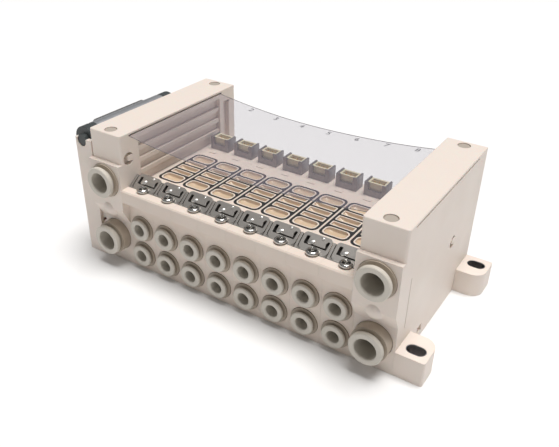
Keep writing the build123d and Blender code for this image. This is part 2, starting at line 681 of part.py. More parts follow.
def connector_holder():
    """Swivelling holder: two discs with pivots, and a bridge behind the connector."""
    body = rod_y(AXIS_X, HOLDER_AXIS, HOLDER_FRONT, HOLDER_REAR, HOLDER_DISC_R)
    inner0 = HOLDER_FRONT + HOLDER_DISC_W
    inner1 = HOLDER_REAR - HOLDER_DISC_W
    seat = AXIS_X - DSUB_SETBACK + DSUB_FLANGE
    low = HOLDER_AXIS - HOLDER_DISC_R
    high = HOLDER_AXIS + HOLDER_DISC_R
    body -= block(AXIS_X - HOLDER_DISC_R, seat, inner0, inner1, low, high)
    rear_half = SHELL_LENGTH / 2 + INSULATOR_LIP + CLEAR
    half = SHELL_HEIGHT / 2 + INSULATOR_RISE + CLEAR
    body -= block(seat, AXIS_X + HOLDER_DISC_R, HOLDER_MIDDLE - rear_half, HOLDER_MIDDLE + rear_half,
                  HOLDER_AXIS - half, HOLDER_AXIS + half)
    body += rod_y(AXIS_X, HOLDER_AXIS, HOLDER_FRONT - PIVOT_LENGTH, HOLDER_FRONT, PIVOT_R)
    return body + rod_y(AXIS_X, HOLDER_AXIS, HOLDER_REAR, HOLDER_REAR + PIVOT_LENGTH, PIVOT_R)


def d_outline(length, height):
    """D-shaped connector outline, wider at the top."""
    slope = height * SHELL_FLARE
    half = length / 2
    points = [(-half, height / 2), (half, height / 2), (half - slope, -height / 2), (-half + slope, -height / 2)]
    face = make_face(Polyline(*points, close=True))
    return fillet(face.vertices(), height / 4)


def d_prism(length, height, x0, x1):
    """D-shaped prism along X on the holder's centre."""
    outline = Pos(x0, HOLDER_MIDDLE, HOLDER_AXIS) * (Plane.YZ * d_outline(length, height))
    return extrude(outline, x1 - x0, dir=(1, 0, 0))


def connector_shell():
    """Metal flange and D-shaped shell of the connector."""
    face = AXIS_X - DSUB_SETBACK
    tip = face - SHELL_REACH
    half = DSUB_LENGTH / 2
    body = block(face, face + DSUB_FLANGE, HOLDER_MIDDLE - half, HOLDER_MIDDLE + half,
                 HOLDER_AXIS - DSUB_HEIGHT / 2, HOLDER_AXIS + DSUB_HEIGHT / 2)
    body += d_prism(SHELL_LENGTH, SHELL_HEIGHT, tip, face)
    inner = 2 * SHELL_WALL
    body -= d_prism(SHELL_LENGTH - inner, SHELL_HEIGHT - inner, tip, face + DSUB_FLANGE)
    for side in (-1, 1):
        y = HOLDER_MIDDLE + side * (SHELL_LENGTH + DSUB_LENGTH) / 4
        body -= rod_x(y, HOLDER_AXIS, face, face + DSUB_FLANGE, 1.5)
    return body


def connector_insert():
    """Insulator of the connector, seated against the flange's back."""
    face = AXIS_X - DSUB_SETBACK
    inner = 2 * SHELL_WALL + 2 * CLEAR
    front = d_prism(SHELL_LENGTH - inner, SHELL_HEIGHT - inner, face - 1.0, face + DSUB_FLANGE)
    half = SHELL_LENGTH / 2 + INSULATOR_LIP
    tall = SHELL_HEIGHT / 2 + INSULATOR_RISE
    rear = face + DSUB_FLANGE
    back = block(rear, rear + INSULATOR_BACK, HOLDER_MIDDLE - half, HOLDER_MIDDLE + half,
                 HOLDER_AXIS - tall, HOLDER_AXIS + tall)
    return front + back


# ---- cover film ------------------------------------------------------------
def cover_film():
    """Clear film tucked into the plates' slits and sagging between them."""
    z = PLATE_HEIGHT - SLIT_DROP - SLIT_HEIGHT
    tuck = ROW_HALF + SLIT_DEPTH - CLEAR
    edges = []
    for height in (z, z + FILM_THICK):
        left = Line((-tuck, height), (-ROW_HALF, height))
        sag = ThreePointArc((-ROW_HALF, height), (0, height - FILM_SAG), (ROW_HALF, height))
        right = Line((ROW_HALF, height), (tuck, height))
        edges += [left, sag, right]
    for x in (-tuck, tuck):
        edges.append(Line((x, z), (x, z + FILM_THICK)))
    outline = make_face(Plane.XZ * Curve(edges))
    y0 = from_front(FILM_FRONT)
    length = FILM_REAR - FILM_FRONT
    return Pos(0, y0, 0) * extrude(outline, length, dir=(0, 1, 0))


def build():
    """Every piece of the valve island by node name."""
    nodes = {}
    first_block = station_block()
    seal = gasket()
    bracket = clamp_bracket()
    screw = clamp_screw()
    clip = plug_clip()
    insert = plug_insert()
    groups = {"clamp_screws": [], "plug_clips": [], "plug_inserts": [], "station_cartridges": []}
    for index in range(STATIONS):
        place = Pos(station_x(index), 0, 0)
        number = index + 1
        nodes[f"manifold_block_{number}"] = place * first_block
        nodes[f"valve_gasket_{number}"] = place * seal
        nodes[f"clamp_bracket_{number}"] = place * bracket
        groups["clamp_screws"].append(place * screw)
        groups["plug_clips"].append(place * clip)
        groups["plug_inserts"].append(place * insert)
        for port, level in zip(station_ports(index), ("high", "low")):
            nodes[f"release_ring_{level}_{number}"] = port.release_ring()
            groups["station_cartridges"].append(port.cartridge())
    groups["main_cartridges"] = []
    for side, end in ((-1, "left"), (1, "right")):
        for port, level in zip(main_ports(side), ("exhaust", "supply")):
            nodes[f"{level}_ring_{end}"] = port.release_ring()
            groups["main_cartridges"].append(port.cartridge())
    caps = [
        Pos(side * (ROW_HALF + PLATE_THICK / 2), from_front(distance), 0) * hole_cap()
        for side in (-1, 1)
        for distance in (CAP_FRONT, CAP_REAR)
    ]
    groups["hole_caps"] = caps
    groups["tie_rods"] = [tie_rod(from_front(y), z) for y, z in ROD_PLACES]
    groups["mounting_feet"] = mounting_feet()
    nodes["end_plate_left"] = end_plate_left()
    nodes["end_plate_right"] = end_plate_right()
    nodes["connector_housing"] = connector_housing()
    nodes["connector_holder"] = connector_holder()
    nodes["connector_shell"] = connector_shell()
    nodes["connector_insert"] = connector_insert()
    nodes["wiring_board"] = wiring_board()
    nodes["cover_film"] = cover_film()
    for name, solids in groups.items():
        nodes[name] = Compound(children=solids)
    return nodes


os.makedirs("parts", exist_ok=True)
for name, shape in build().items():
    export_step(shape, f"parts/{name}.step")
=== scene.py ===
import math

import bmesh
import bpy
from mathutils import Matrix, Vector


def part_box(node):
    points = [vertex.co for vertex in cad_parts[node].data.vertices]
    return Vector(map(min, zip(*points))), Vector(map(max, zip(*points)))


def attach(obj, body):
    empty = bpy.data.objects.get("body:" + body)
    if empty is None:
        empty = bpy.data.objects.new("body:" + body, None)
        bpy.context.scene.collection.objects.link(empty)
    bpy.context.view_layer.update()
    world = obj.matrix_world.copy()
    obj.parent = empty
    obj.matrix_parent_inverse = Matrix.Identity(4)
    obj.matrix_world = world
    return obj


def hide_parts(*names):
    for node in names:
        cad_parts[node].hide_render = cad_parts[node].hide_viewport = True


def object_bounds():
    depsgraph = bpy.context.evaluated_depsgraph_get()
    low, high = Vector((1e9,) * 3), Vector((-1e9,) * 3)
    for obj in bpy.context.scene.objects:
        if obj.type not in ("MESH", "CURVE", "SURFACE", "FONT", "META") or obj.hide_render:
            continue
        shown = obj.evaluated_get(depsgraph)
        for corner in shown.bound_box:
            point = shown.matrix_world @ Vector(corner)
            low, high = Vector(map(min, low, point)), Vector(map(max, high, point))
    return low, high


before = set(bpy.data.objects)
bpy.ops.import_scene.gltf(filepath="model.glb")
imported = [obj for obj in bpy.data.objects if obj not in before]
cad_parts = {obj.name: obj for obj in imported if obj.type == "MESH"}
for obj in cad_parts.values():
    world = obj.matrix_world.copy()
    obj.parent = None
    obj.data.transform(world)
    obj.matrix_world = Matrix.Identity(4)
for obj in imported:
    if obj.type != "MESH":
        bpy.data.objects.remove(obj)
cad_low, cad_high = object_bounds()


# ---- station blocks --------------------------------------------------------
# Eight blocks moulded in glass-filled PBT and drawn together side by side by
# the tie rods.
MM = 0.001
STATIONS = range(1, 9)
MIX_FACTOR, MIX_A, MIX_B, MIX_COLOUR = 0, 6, 7, 2   # sockets of a colour Mix node
PLASTIC_CLOUD = 24 * MM


def linear(hex_colour):
    """Linear RGBA of an sRGB hex colour."""
    parts = [int(hex_colour[i:i + 2], 16) / 255 for i in (1, 3, 5)]
    return (*[p / 12.92 if p <= 0.04045 else ((p + 0.055) / 1.055) ** 2.4 for p in parts], 1.0)


def add_node(material, kind, settings=(), links=()):
    """Adds a node, sets its properties and sockets in order, and joins earlier outputs to it."""
    node = material.node_tree.nodes.new(kind)
    for key, value in dict(settings).items():
        if isinstance(key, str) and hasattr(node, key):
            setattr(node, key, value)
        else:
            node.inputs[key].default_value = value
    for key, output in dict(links).items():
        material.node_tree.links.new(output, node.inputs[key])
    return node


def empty_material(name):
    """Material with node use on and its tree bare."""
    material = bpy.data.materials.new(name)
    material.use_nodes = True
    material.node_tree.nodes.clear()
    return material


def moulded_plastic(name, base, deep, roughness, grain_mm, edge_mm, subsurface=0.0):
    """Injection-moulded plastic: slow clouds of colour and gloss, eroded grain, broken edges.

    A real eroded grain is under 0.1 mm, so it is drawn a few times coarser to show.
    """
    material = empty_material(name)
    place = add_node(material, "ShaderNodeTexCoord").outputs["Object"]
    cloud = add_node(material, "ShaderNodeTexNoise",
                     {"Scale": 1 / PLASTIC_CLOUD, "Detail": 3.0},
                     {"Vector": place}).outputs["Fac"]
    colour = add_node(material, "ShaderNodeMix",
                      {"data_type": "RGBA", MIX_A: linear(base), MIX_B: linear(deep)},
                      {MIX_FACTOR: cloud}).outputs[MIX_COLOUR]
    gloss = add_node(material, "ShaderNodeMapRange",
                     {"From Min": 0.3, "From Max": 0.7,
                      "To Min": roughness - 0.06, "To Max": roughness + 0.06},
                     {"Value": cloud}).outputs["Result"]
    grain = add_node(material, "ShaderNodeTexNoise",
                     {"Scale": 1 / (grain_mm * MM), "Detail": 2.0},
                     {"Vector": place}).outputs["Fac"]
    edge = add_node(material, "ShaderNodeBevel",
                    {"samples": 4, "Radius": edge_mm * MM}).outputs["Normal"]
    bump = add_node(material, "ShaderNodeBump",
                    {"Strength": 0.25, "Distance": 0.1 * grain_mm * MM},
                    {"Height": grain, "Normal": edge}).outputs["Normal"]
    skin = add_node(material, "ShaderNodeBsdfPrincipled",
                    {"IOR": 1.53, "Subsurface Weight": subsurface, "Subsurface Scale": 0.6 * MM},
                    {"Base Color": colour, "Roughness": gloss, "Normal": bump})
    add_node(material, "ShaderNodeOutputMaterial", (), {"Surface": skin.outputs["BSDF"]})
    return material


def dress(material, *names):
    """Gives CAD nodes a material."""
    for name in names:
        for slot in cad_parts[name].material_slots:
            slot.material = material


# Satin and a little cloudy, with soft edges and a trace of light in its depth.
pbt_cream = moulded_plastic("PBT moulded cream", "#E7DACE", "#DFD0C3", 0.5, 0.45, 0.35, 0.06)
dress(pbt_cream, *[f"manifold_block_{n}" for n in STATIONS])

# ---- end plates and feet ---------------------------------------------------
# The two thick plates that close the row, the connector's housing on one of
# them, and the slotted feet that screw the row to a panel. All are moulded in
# the same plastic as the blocks, from larger tools.

# A shade paler and slightly glossier than the blocks, with rounder edges.
pbt_plate = moulded_plastic("PBT moulded cream plate", "#EADFD5", "#E3D6CB", 0.46, 0.5, 0.45, 0.06)
dress(pbt_plate, "end_plate_left", "end_plate_right", "mounting_feet", "connector_housing")

# ---- caps in the top holes -------------------------------------------------
# Four press-in caps, moulded in acetal, hide the holes in the plates' tops and
# lie level with them.

# Waxy and greyer than the plates.
acetal_cap = moulded_plastic("acetal grey beige cap", "#B8AEA2", "#ADA397", 0.42, 0.4, 0.3)
dress(acetal_cap, "hole_caps")

# ---- push-in cartridges and release rings ----------------------------------
# Flanged sleeves pressed into the ports, and the rings that are pushed to free
# a tube. Both are moulded in acetal.

# The sleeve is a dull beige, partly its own tone and partly painted shade that
# darkens the groove round each ring; the ring is greyer, and smoother from handling.
acetal_sleeve_groove_shade = moulded_plastic("acetal moulded sleeve with painted groove shade", "#BBAD9D", "#AFA18F", 0.42, 0.35, 0.3)
dress(acetal_sleeve_groove_shade, "station_cartridges", "main_cartridges")
acetal_ring = moulded_plastic("acetal moulded ring", "#D2CCC1", "#C8C1B5", 0.36, 0.35, 0.3)
small_rings = [f"release_ring_{level}_{n}" for n in STATIONS for level in ("high", "low")]
main_rings = [f"{level}_ring_{side}" for side in ("left", "right") for level in ("exhaust", "supply")]
dress(acetal_ring, *small_rings, *main_rings)


# ---- claws and seals inside the ports --------------------------------------
# A stamped claw ring grips each tube, and a moulded lip seal behind it holds
# the air. Both sit deep in the bore behind the release ring.
MERGE = 1e-7
METAL_MOTTLE = 1.6 * MM
RUBBER_DUST = 3 * MM


def make_piece(name, shape, materials, body, sharp=35):
    """Object from a bmesh, shaded smooth up to an angle, that rides on a CAD body."""
    mesh = bpy.data.meshes.new(name)
    shape.to_mesh(mesh)
    shape.free()
    for material in materials:
        mesh.materials.append(material)
    mesh.shade_smooth()
    mesh.set_sharp_from_angle(angle=math.radians(sharp))
    piece = bpy.data.objects.new(name, mesh)
    bpy.context.scene.collection.objects.link(piece)
    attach(piece, body)
    return piece


def stamped_metal(name, base, deep, roughness, grain_mm, metallic=1.0, edge_mm=0.15):
    """Sheet or turned metal: mottled plating with fine pits, drawn coarse enough to show."""
    material = empty_material(name)
    place = add_node(material, "ShaderNodeTexCoord").outputs["Object"]
    mottle = add_node(material, "ShaderNodeTexNoise",
                      {"Scale": 1 / METAL_MOTTLE, "Detail": 4.0},
                      {"Vector": place}).outputs["Fac"]
    colour = add_node(material, "ShaderNodeMix",
                      {"data_type": "RGBA", MIX_A: linear(base), MIX_B: linear(deep)},
                      {MIX_FACTOR: mottle}).outputs[MIX_COLOUR]
    gloss = add_node(material, "ShaderNodeMapRange",
                     {"From Min": 0.3, "From Max": 0.7,
                      "To Min": roughness - 0.05, "To Max": roughness + 0.08},
                     {"Value": mottle}).outputs["Result"]
    pits = add_node(material, "ShaderNodeTexNoise",
                    {"Scale": 1 / (grain_mm * MM), "Detail": 2.0},
                    {"Vector": place}).outputs["Fac"]
    edge = add_node(material, "ShaderNodeBevel",
                    {"samples": 4, "Radius": edge_mm * MM}).outputs["Normal"]
    bump = add_node(material, "ShaderNodeBump",
                    {"Strength": 0.2, "Distance": 0.1 * grain_mm * MM},
                    {"Height": pits, "Normal": edge}).outputs["Normal"]
    skin = add_node(material, "ShaderNodeBsdfPrincipled", {"Metallic": metallic},
                    {"Base Color": colour, "Roughness": gloss, "Normal": bump})
    add_node(material, "ShaderNodeOutputMaterial", (), {"Surface": skin.outputs["BSDF"]})
    return material


def nitrile_rubber(name, base, deep, roughness):
    """Moulded nitrile: near black, dusty in patches, with a soft skin."""
    material = empty_material(name)
    place = add_node(material, "ShaderNodeTexCoord").outputs["Object"]
    dust = add_node(material, "ShaderNodeTexNoise",
                    {"Scale": 1 / RUBBER_DUST, "Detail": 4.0},
                    {"Vector": place}).outputs["Fac"]
    colour = add_node(material, "ShaderNodeMix",
                      {"data_type": "RGBA", MIX_A: linear(base), MIX_B: linear(deep)},
                      {MIX_FACTOR: dust}).outputs[MIX_COLOUR]
    gloss = add_node(material, "ShaderNodeMapRange",
                     {"From Min": 0.3, "From Max": 0.7,
                      "To Min": roughness - 0.08, "To Max": roughness + 0.08},
                     {"Value": dust}).outputs["Result"]
    bump = add_node(material, "ShaderNodeBump", {"Strength": 0.2, "Distance": 0.03 * MM},
                    {"Height": dust}).outputs["Normal"]
    skin = add_node(material, "ShaderNodeBsdfPrincipled", {"IOR": 1.52},
                    {"Base Color": colour, "Roughness": gloss, "Normal": bump})
    add_node(material, "ShaderNodeOutputMaterial", (), {"Surface": skin.outputs["BSDF"]})
    return material


def port_rings(outline_mm, behind, start_mm):
    """Closed rings turned from a (radius, depth) outline, each behind a release ring's lip."""
    rings = bmesh.new()
    for name in behind:
        low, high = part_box(name)
        centre = Vector(((low.x + high.x) / 2, 0, (low.z + high.z) / 2))
        start = low.y + start_mm * MM
        corners = [rings.verts.new(centre + Vector((r * MM, start + d * MM, 0)))
                   for r, d in outline_mm]
        edges = [rings.edges.new(pair) for pair in zip(corners, corners[1:] + corners[:1])]
        bmesh.ops.spin(rings, geom=corners + edges, cent=centre, axis=(0, 1, 0),
                       angle=math.tau, steps=40, use_merge=True)
    bmesh.ops.remove_doubles(rings, verts=rings.verts, dist=MERGE)
    bmesh.ops.recalc_face_normals(rings, faces=rings.faces)
    return rings


# The claws are a dull glint in the bore; the seals close it with a black ring.
spring_steel = stamped_metal("spring steel stamped", "#A9A7A2", "#8F8C86", 0.35, 0.2)
nitrile_seal = nitrile_rubber("nitrile rubber seal", "#1E1D1C", "#2A2826", 0.5)
SMALL_CLAW = [(3.0, 0.5), (4.4, 0.0), (4.4, 0.25), (3.0, 0.75)]
SMALL_SEAL = [(2.8, 0.6), (3.3, 0.2), (4.4, 0.0), (4.4, 2.2), (3.4, 2.2), (2.9, 1.2)]
LARGE_CLAW = [(5.0, 0.7), (6.4, 0.0), (6.4, 0.3), (5.0, 1.0)]
LARGE_SEAL = [(4.8, 0.8), (5.3, 0.2), (6.4, 0.0), (6.4, 2.6), (5.4, 2.6), (4.9, 1.5)]
for name, outline_mm, behind, start_mm, material, slot in (
    ("tube_claws_small", SMALL_CLAW, small_rings, 12.4, spring_steel, "screw_steel"),
    ("tube_seals_small", SMALL_SEAL, small_rings, 13.6, nitrile_seal, "black_rubber"),
    ("tube_claws_large", LARGE_CLAW, main_rings, 14.6, spring_steel, "screw_steel"),
    ("tube_seals_large", LARGE_SEAL, main_rings, 16.0, nitrile_seal, "black_rubber"),
):
    make_piece(name, port_rings(outline_mm, behind, start_mm), [material], "island")

# ---- valve gaskets ---------------------------------------------------------
# One flat moulded nitrile seal per station in a groove of its block, pressed
# down by years under a valve until it stands only a little proud.
GASKET_PRESSED = 0.43 * MM
GASKET_TOP_BAND = 0.05 * MM
# Bare rubber, near black, greyer in random patches.
nitrile_gasket = nitrile_rubber("nitrile rubber gasket", "#1F2021", "#303132", 0.42)
gasket_names = [f"valve_gasket_{n}" for n in STATIONS]
seals = bmesh.new()
for name in gasket_names:
    seals.from_mesh(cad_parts[name].data)
bmesh.ops.remove_doubles(seals, verts=seals.verts, dist=1e-6)
seal_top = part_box("valve_gasket_1")[1].z
for vert in seals.verts:
    if vert.co.z > seal_top - GASKET_TOP_BAND:
        vert.co.z -= GASKET_PRESSED
gaskets = make_piece("gasket_seals", seals, [nitrile_gasket], "island", 20)
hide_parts(*gasket_names)

# ---- gallery floors --------------------------------------------------------
# Shallow dished floors inside the gasket's five windows, moulded with the block
# in the same plastic, where air meets the valve.
WINDOW_LENGTHS = (8.0, 4.6, 5.3, 4.9, 7.8)
WINDOW_BAR = 0.5
FIRST_WINDOW = 1.0
FLOOR_WIDTH = 11.6
FLOOR_MARGIN = 1.2
FLOOR_RIM = 0.1 * MM
FLOOR_THICK = 0.4 * MM
DISH = 1.3 * MM
# Darker, browner and smoother than the ledge; the darker, browner tone is painted
# shade that stands in for the depth of the passages below.
gallery_pbt_painted_shade = moulded_plastic("PBT moulded tan gallery painted shade", "#D6C1A8", "#C2AA8C", 0.36, 0.4, 0.2, 0.05)
floors = bmesh.new()
for name in gasket_names:
    low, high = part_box(name)
    along = low.y + FIRST_WINDOW * MM
    for length in WINDOW_LENGTHS:
        dish = bmesh.ops.create_grid(floors, x_segments=12, y_segments=8, size=0.5)["verts"]
        for vert in dish:
            crown = (1 - (2 * vert.co.x) ** 4) * (1 - (2 * vert.co.y) ** 4)
            vert.co.z = low.z - FLOOR_RIM - DISH * crown
        floor_size = (FLOOR_WIDTH * MM, (length - FLOOR_MARGIN) * MM, 1)
        bmesh.ops.scale(floors, verts=dish, vec=floor_size)
        bmesh.ops.translate(floors, verts=dish,
                            vec=((low.x + high.x) / 2, along + length * MM / 2, 0))
        along += (length + WINDOW_BAR) * MM
bmesh.ops.recalc_face_normals(floors, faces=floors.faces)
bmesh.ops.solidify(floors, geom=floors.faces[:], thickness=FLOOR_THICK)
make_piece("gallery_floors", floors, [gallery_pbt_painted_shade], "island", 60)

# ---- clamp brackets --------------------------------------------------------
# Stamped steel, held by the screw at its foot; its plate leans back. A U-shaped
# slot frees a tongue that a valve's cover snaps under, and a narrow strip along
# one edge stands apart. Sizes are in mm.
BRACKET_WIDTH = 15.6
BRACKET_RISE = 8.5
BRACKET_THICK = 1.1
BRACKET_CORNER = 1.9
BRACKET_LEAN = math.radians(36)
BEND = (0, 0.65, 1.2)       # where the plate starts to rise, from the foot's front lower edge
FOOT_DEPTH = 3.7
FOOT_THICK = 1.2
STRIP_WIDTH = 1.15
STRIP_LENGTH = BRACKET_RISE - 1.2
SLOT_CORNER = 0.35
HALF = BRACKET_WIDTH / 2
STRIP_CENTRE = 0.6 - HALF
PLATE_START = 1.6 - HALF
PLATE_SHAPE = [(PLATE_START, 0), (HALF, 0), (HALF, BRACKET_RISE), (PLATE_START, BRACKET_RISE)]
U_SLOT = [(-4.7, 2.8), (6.5, 2.7), (6.8, 6.6), (5.8, 6.7), (5.2, 5.4), (5.7, 3.4),
          (-3.1, 3.4), (-2.9, 6.8), (-4.5, 6.8)]


def verts_of(geometry):
    """The vertices in what an operator hands back."""
    return [item for item in geometry if isinstance(item, bmesh.types.BMVert)]


def rounded_loop(corners_mm, radius_mm):
    """Mesh of one closed loop of edges through corners that are rounded."""
    loop = bmesh.new()
    face = loop.faces.new([loop.verts.new((x * MM, y * MM, 0)) for x, y in corners_mm])
    bmesh.ops.bevel(loop, geom=face.verts[:], offset=radius_mm * MM, segments=4, profile=0.5,
                    affect="VERTICES", material=-1)
    bmesh.ops.delete(loop, geom=loop.faces[:], context="FACES_ONLY")
    mesh = bpy.data.meshes.new("loop")
    loop.to_mesh(mesh)
    loop.free()
    return mesh


def slotted_plate(place):
    """Mesh of the bracket's plate with its slot, its top face at zero height before it is placed."""
    sheet = bmesh.new()
    sheet.from_mesh(rounded_loop(PLATE_SHAPE, BRACKET_CORNER))
    sheet.from_mesh(rounded_loop(U_SLOT, SLOT_CORNER))
    bmesh.ops.triangle_fill(sheet, use_beauty=True, use_dissolve=False, edges=sheet.edges[:],
                            normal=(0, 0, 1))
    bmesh.ops.recalc_face_normals(sheet, faces=sheet.faces)
    if sheet.faces[:][0].normal.z < 0:
        bmesh.ops.reverse_faces(sheet, faces=sheet.faces[:])
    under = bmesh.ops.extrude_face_region(sheet, geom=sheet.faces[:], use_keep_orig=True)["geom"]
    bmesh.ops.translate(sheet, verts=verts_of(under), vec=(0, 0, -BRACKET_THICK * MM))
    bmesh.ops.recalc_face_normals(sheet, faces=sheet.faces)
    mesh = bpy.data.meshes.new("plate")
    sheet.to_mesh(mesh)
    sheet.free()
    mesh.transform(place)
    return mesh


def add_bar(work, size_mm, centre_mm, place):
    """Square bar of a size round a centre, then moved to its place."""
    bar = bmesh.ops.create_cube(work, size=1.0)["verts"]
    bmesh.ops.scale(work, verts=bar, vec=Vector(size_mm) * MM)
    bmesh.ops.translate(work, verts=bar, vec=Vector(centre_mm) * MM)
    bmesh.ops.transform(work, verts=bar, matrix=place)


# Dull plated steel: pale grey, with broad soft reflections and worn edges.
stamped_steel = stamped_metal("steel stamped dull plated", "#B3AFAA", "#98948F", 0.45, 0.3, 0.85, 0.25)
bracket_names = [f"clamp_bracket_{n}" for n in STATIONS]
brackets = bmesh.new()
leans = []
for name in bracket_names:
    low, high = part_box(name)
    foot = Matrix.Translation(((low.x + high.x) / 2, low.y, low.z))
    lean = foot @ Matrix.Translation(Vector(BEND) * MM) @ Matrix.Rotation(BRACKET_LEAN, 4, "X")
    leans.append(lean)
    brackets.from_mesh(slotted_plate(lean))
    add_bar(brackets, (STRIP_WIDTH, STRIP_LENGTH, BRACKET_THICK),
            (STRIP_CENTRE, STRIP_LENGTH / 2, -BRACKET_THICK / 2), lean)
    add_bar(brackets, (BRACKET_WIDTH, FOOT_DEPTH, FOOT_THICK),
            (0, FOOT_DEPTH / 2, FOOT_THICK / 2), foot)
stampings = make_piece("bracket_stampings", brackets, [stamped_steel], "island", 30)
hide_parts(*bracket_names)

# ---- dark sheets in the bracket slots, bright spring ends and rivets -------
# A dull dark sheet under each tongue is painted shade that makes the slot read
# dark; a polished spring end comes up through the slot, with a round-headed
# rivet behind it. Sizes are in mm.
SHADE_SHEET_SIZE = (13.6, 6.6, 0.4)
SHADE_SHEET_CENTRE = (0.4, 4.3, -1.9)
SHADE_SHEET_EDGE = 0.12
END_SIZE = (1.9, 1.15, 0.7)
END_PLACE = (-1.2, 4.3, 0)
END_TURN = 0.5
RIVET_R = 0.75
RIVET_FLAT = 0.7
RIVET_PLACE = (3.2, 7.4, 0)
slot_shade_sheets = bmesh.new()
spring_ends = bmesh.new()
rivets = bmesh.new()
for lean in leans:
    add_bar(slot_shade_sheets, SHADE_SHEET_SIZE, (0, 0, 0), lean @ Matrix.Translation(Vector(SHADE_SHEET_CENTRE) * MM))
    end = bmesh.ops.create_uvsphere(spring_ends, u_segments=20, v_segments=10, radius=MM)["verts"]
    bmesh.ops.scale(spring_ends, verts=end, vec=END_SIZE)
    end_place = Matrix.Translation(Vector(END_PLACE) * MM) @ Matrix.Rotation(END_TURN, 4, "Z")
    bmesh.ops.transform(spring_ends, verts=end, matrix=lean @ end_place)
    dome = bmesh.ops.create_uvsphere(rivets, u_segments=16, v_segments=8, radius=RIVET_R * MM)["verts"]
    bmesh.ops.scale(rivets, verts=dome, vec=(1, 1, RIVET_FLAT))
    bmesh.ops.transform(rivets, verts=dome, matrix=lean @ Matrix.Translation(Vector(RIVET_PLACE) * MM))
bmesh.ops.bevel(slot_shade_sheets, geom=slot_shade_sheets.edges[:], offset=SHADE_SHEET_EDGE * MM, segments=2, profile=0.5,
                affect="EDGES", material=-1)
# Brown-black and dull: painted shade, so that the slot reads as a dark line.
painted_slot_shade = stamped_metal("dark steel sheet painted slot shade", "#3B3835", "#2B2927", 0.5, 0.3, 0.6, 0.1)
make_piece("bracket_slot_shade_sheets", slot_shade_sheets, [painted_slot_shade], "island")
# Nickel mirrors the light in a small bright spot.
nickel_plate = stamped_metal("steel nickel plated", "#F6F4F0", "#E4E2DE", 0.3, 0.3)
make_piece("spring_ends", spring_ends, [nickel_plate], "island")
make_piece("bracket_rivets", rivets, [nickel_plate], "island")

# ---- clamp screws and tie rods ---------------------------------------------
# Turned steel screws whose washer face is one with the head above an undercut,
# with a round socket. The long rods that hold the row together have the same
# zinc finish. Sizes are in mm.
SCREW_ASIDE = 1.8
HEAD_RISE = 2.0
SOCKET_R = 1.6
HEAD = [(0.0, 0.5), (SOCKET_R, 0.5), (SOCKET_R + 0.1, 1.6), (2.0, 2.0), (2.45, 1.95), (2.95, 1.5),
        (3.1, 1.0), (3.0, 0.75), (2.5, 0.55), (2.5, 0.1), (1.5, 0.05), (1.5, -7.0), (0.0, -7.0)]
# Bright zinc mirrors the light along the rim; the socket's walls get a darker steel, painted shade.
zinc_plate = stamped_metal("steel turned zinc plated", "#D6D4D0", "#AEACA8", 0.2, 0.25)
socket_painted_shade = stamped_metal("steel socket painted shade", "#6A6864", "#4A4845", 0.3, 0.25)
dress(zinc_plate, "tie_rods")
screw_low, screw_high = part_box("clamp_screws")
screws = bmesh.new()
screw_centres = []
for name in bracket_names:
    low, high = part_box(name)
    centre = Vector(((low.x + high.x) / 2 + SCREW_ASIDE * MM, (screw_low.y + screw_high.y) / 2,
                     screw_high.z - HEAD_RISE * MM))
    screw_centres.append(centre)
    corners = [screws.verts.new(centre + Vector((r * MM, 0, z * MM))) for r, z in HEAD]
    edges = [screws.edges.new(pair) for pair in zip(corners, corners[1:])]
    bmesh.ops.spin(screws, geom=corners + edges, cent=centre, axis=(0, 0, 1), angle=math.tau,
                   steps=36, use_merge=True)
bmesh.ops.remove_doubles(screws, verts=screws.verts, dist=1e-6)
bmesh.ops.recalc_face_normals(screws, faces=screws.faces)
# Faces inside the socket take the darker steel: painted shade.
for face in screws.faces:
    spot = face.calc_center_median()
    in_socket = any(math.hypot(spot.x - centre.x, spot.y - centre.y) < (SOCKET_R + 0.02) * MM
                    for centre in screw_centres)
    face.material_index = 1 if in_socket and spot.z > screw_high.z - HEAD_RISE * MM else 0
heads = make_piece("screw_heads", screws, [zinc_plate, socket_painted_shade], "island", 40)
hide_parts("clamp_screws")

# ---- plug clips and inserts ------------------------------------------------
# A folded steel clip, snapped to the block, holds the moulded nylon insert that
# takes a valve's plug.

# Tinned steel is a soft mid grey; the nylon is ivory and a little translucent.
clip_steel = stamped_metal("steel stamped tinned", "#9A9896", "#858381", 0.42, 0.3, 0.8, 0.2)
dress(clip_steel, "plug_clips")
ivory_nylon = moulded_plastic("nylon moulded ivory", "#E3DCC0", "#D9D0B0", 0.45, 0.35, 0.25, 0.08)
dress(ivory_nylon, "plug_inserts")

# ---- contacts in the plug inserts ------------------------------------------
# Six square brass pins in each insert, gold flashed, pressed in as two rows of
# three. Sizes are in mm.
CONTACT_SIZE = (0.5, 0.5, 1.9)
CONTACT_COLUMNS = (-2.54, 0.0, 2.54)
CONTACT_ROWS = (-0.7, 0.7)
CONTACT_SUNK = 1.5
CONTACT_ASIDE = 0.4
CONTACT_EDGE = 0.08
# A thin gold flash: warm yellow with sharp reflections.
gold_flash = stamped_metal("brass gold flashed", "#E0B868", "#C99B48", 0.3, 0.2)
insert_low, insert_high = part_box("plug_inserts")
pins = bmesh.new()
for name in gasket_names:
    low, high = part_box(name)
    centre = Vector(((low.x + high.x) / 2 - CONTACT_ASIDE * MM, (insert_low.y + insert_high.y) / 2,
                     insert_high.z - CONTACT_SUNK * MM))
    for column in CONTACT_COLUMNS:
        for row in CONTACT_ROWS:
            place = Matrix.Translation(centre + Vector((column, row, 0)) * MM)
            add_bar(pins, CONTACT_SIZE, (0, 0, 0), place)
bmesh.ops.bevel(pins, geom=pins.edges[:], offset=CONTACT_EDGE * MM, segments=1, profile=0.5,
                affect="EDGES", material=-1)
make_piece("insert_contacts", pins, [gold_flash], "island")

